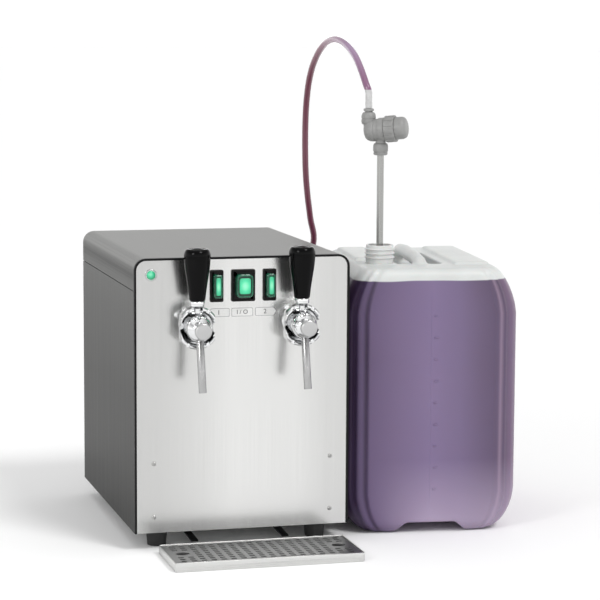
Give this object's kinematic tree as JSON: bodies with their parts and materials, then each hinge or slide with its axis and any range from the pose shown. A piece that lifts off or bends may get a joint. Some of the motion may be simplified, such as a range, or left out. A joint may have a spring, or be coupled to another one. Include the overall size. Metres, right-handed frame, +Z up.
{
  "type": "mulled wine dispenser",
  "caption": "Counter-top stainless mulled wine dispenser with lever taps, lit rocker switches and a drip tray, fed by a hose and suction lance from a canister beside it.",
  "frame": {"origin": "on the table, under the middle of the object's bounding box, its suction hose left out", "axes": "+Z up; -Y to the front, where the taps and switches are; +X to the right as seen from the front, towards the canister"},
  "size_m": [0.4452, 0.5125, 0.5316],
  "materials": {
    "bright_brushed_steel": "bright, brushed upright",
    "satin_steel": "grey, brushed",
    "chrome": "polished",
    "black_plastic": "fine matte",
    "black_gloss_plastic": "glossy",
    "black_rubber": "matte",
    "green_silicone": "clear soft green",
    "green_lens": "lit green lens",
    "cast_aluminium": "as cast",
    "zinc_plated_steel": "zinc plated",
    "brass": "turned",
    "grey_plastic": "satin moulding",
    "milky_tube": "milky silicone",
    "circuit_board": "varnished",
    "wine_filled_hose": "clear hose with red wine in it",
    "wine_filled_canister": "milky plastic with red wine behind it"
  },
  "bodies": {
    "casing": {"front_panel": "bright_brushed_steel", "edge_trim": "black_plastic", "top_cover": "satin_steel", "side_panel_left": "satin_steel", "side_panel_right": "satin_steel", "base_plate": "zinc_plated_steel", "rear_panel": "satin_steel", "foot_front_left": "black_rubber", "foot_rear_left": "black_rubber", "foot_front_right": "black_rubber", "foot_rear_right": "black_rubber", "tray_stop": "black_plastic", "lamp_body": "chrome", "lamp_lens": "green_lens", "pump_1_switch_frame": "black_plastic", "pump_1_switch_boot": "green_silicone", "power_switch_frame": "black_plastic", "power_switch_boot": "green_silicone", "pump_2_switch_frame": "black_plastic", "pump_2_switch_boot": "green_silicone", "tap_shank_left": "chrome", "tap_collar_left": "chrome", "tap_body_left": "chrome", "spout_left": "bright_brushed_steel", "shank_nut_left": "brass", "lever_pin_left": "chrome", "tap_shank_right": "chrome", "tap_collar_right": "chrome", "tap_body_right": "chrome", "spout_right": "bright_brushed_steel", "shank_nut_right": "brass", "lever_pin_right": "chrome", "pump_left": "black_plastic", "pump_right": "black_plastic", "heater_block": "cast_aluminium", "thermostat": "black_plastic", "feed_tube_left": "milky_tube", "outlet_tube_left": "milky_tube", "feed_tube_right": "milky_tube", "outlet_tube_right": "milky_tube", "control_board": "circuit_board", "power_inlet": "black_plastic", "wine_inlet_left": "grey_plastic", "wine_inlet_right": "grey_plastic", "canister": "wine_filled_canister", "suction_lance": "bright_brushed_steel", "strainer_body": "grey_plastic", "strainer_nut": "grey_plastic", "strainer_cap": "grey_plastic", "suction_hose": "wine_filled_hose"},
    "lever_left": {"lever_left": "chrome", "lever_handle_left": "black_gloss_plastic"},
    "lever_right": {"lever_right": "chrome", "lever_handle_right": "black_gloss_plastic"},
    "rocker_pump_1": {"pump_1_rocker": "green_lens"},
    "rocker_power": {"power_rocker": "green_lens"},
    "rocker_pump_2": {"pump_2_rocker": "green_lens"},
    "drip_tray": {"drip_tray": "bright_brushed_steel"},
    "drip_grid": {"drip_grid": "bright_brushed_steel"}
  },
  "joints": [
    {"name": "lever_left_tilt", "type": "hinge", "parent": "casing", "child": "lever_left", "pos_m": [-0.1626, -0.14285, 0.2549], "axis": [1, 0, 0], "range_deg": [0, 30]},
    {"name": "lever_right_tilt", "type": "hinge", "parent": "casing", "child": "lever_right", "pos_m": [-0.0518, -0.14285, 0.2549], "axis": [1, 0, 0], "range_deg": [0, 30]},
    {"name": "rocker_pump_1_tilt", "type": "hinge", "parent": "casing", "child": "rocker_pump_1", "pos_m": [-0.1355, -0.11265, 0.2768], "axis": [1, 0, 0], "range_deg": [-14, 0]},
    {"name": "rocker_power_tilt", "type": "hinge", "parent": "casing", "child": "rocker_power", "pos_m": [-0.1072, -0.11265, 0.2768], "axis": [1, 0, 0], "range_deg": [-14, 0]},
    {"name": "rocker_pump_2_tilt", "type": "hinge", "parent": "casing", "child": "rocker_pump_2", "pos_m": [-0.0789, -0.11265, 0.2768], "axis": [1, 0, 0], "range_deg": [-14, 0]},
    {"name": "drip_tray_slide", "type": "slide", "parent": "casing", "child": "drip_tray", "axis": [0, -1, 0], "range_m": [-0.014, 0.09]},
    {"name": "drip_grid_lift", "type": "slide", "parent": "drip_tray", "child": "drip_grid", "axis": [0, 0, 1], "range_m": [0, 0.03]}
  ]
}
